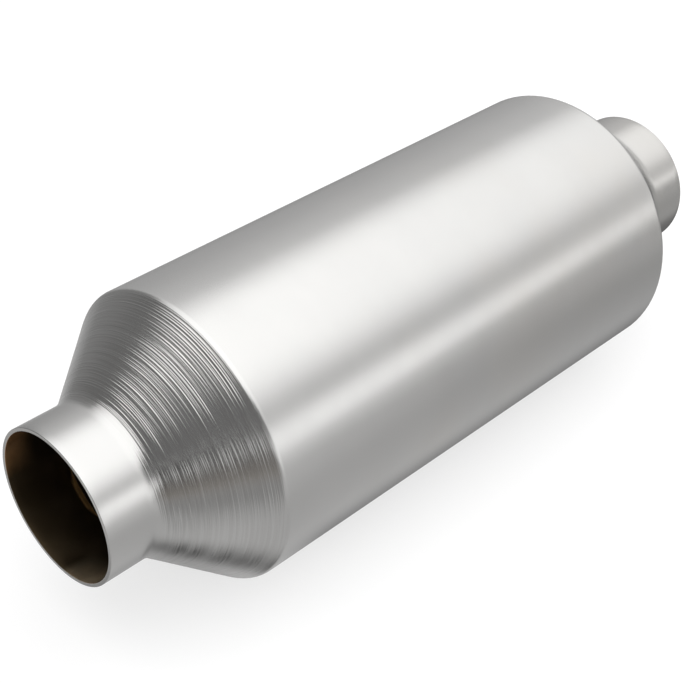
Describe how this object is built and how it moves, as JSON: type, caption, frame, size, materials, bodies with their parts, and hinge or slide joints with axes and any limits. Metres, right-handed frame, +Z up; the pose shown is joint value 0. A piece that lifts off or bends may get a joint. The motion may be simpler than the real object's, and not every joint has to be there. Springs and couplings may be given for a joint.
{
  "type": "catalytic converter",
  "caption": "Round catalytic converter: a spun stainless body with cone ends and slip-on pipe necks, holding coated ceramic honeycomb bricks in fibre mats.",
  "frame": {"origin": "middle of the part, on the pipe axis", "axes": "+X along the pipe axis from inlet to outlet, +Z up"},
  "size_m": [0.3556, 0.127, 0.127],
  "materials": {
    "spun_steel": "satin, with fine roller marks round the cones",
    "coated_ceramic": "matte",
    "fibre_mat": "matte, felted",
    "knitted_wire": "knitted"
  },
  "bodies": {
    "root": {"spun_shell": "spun_steel", "inlet_brick": "coated_ceramic", "outlet_brick": "coated_ceramic", "inlet_mat": "fibre_mat", "outlet_mat": "fibre_mat", "inlet_brick_front_seal": "knitted_wire", "inlet_brick_rear_seal": "knitted_wire", "outlet_brick_front_seal": "knitted_wire", "outlet_brick_rear_seal": "knitted_wire"}
  },
  "joints": []
}
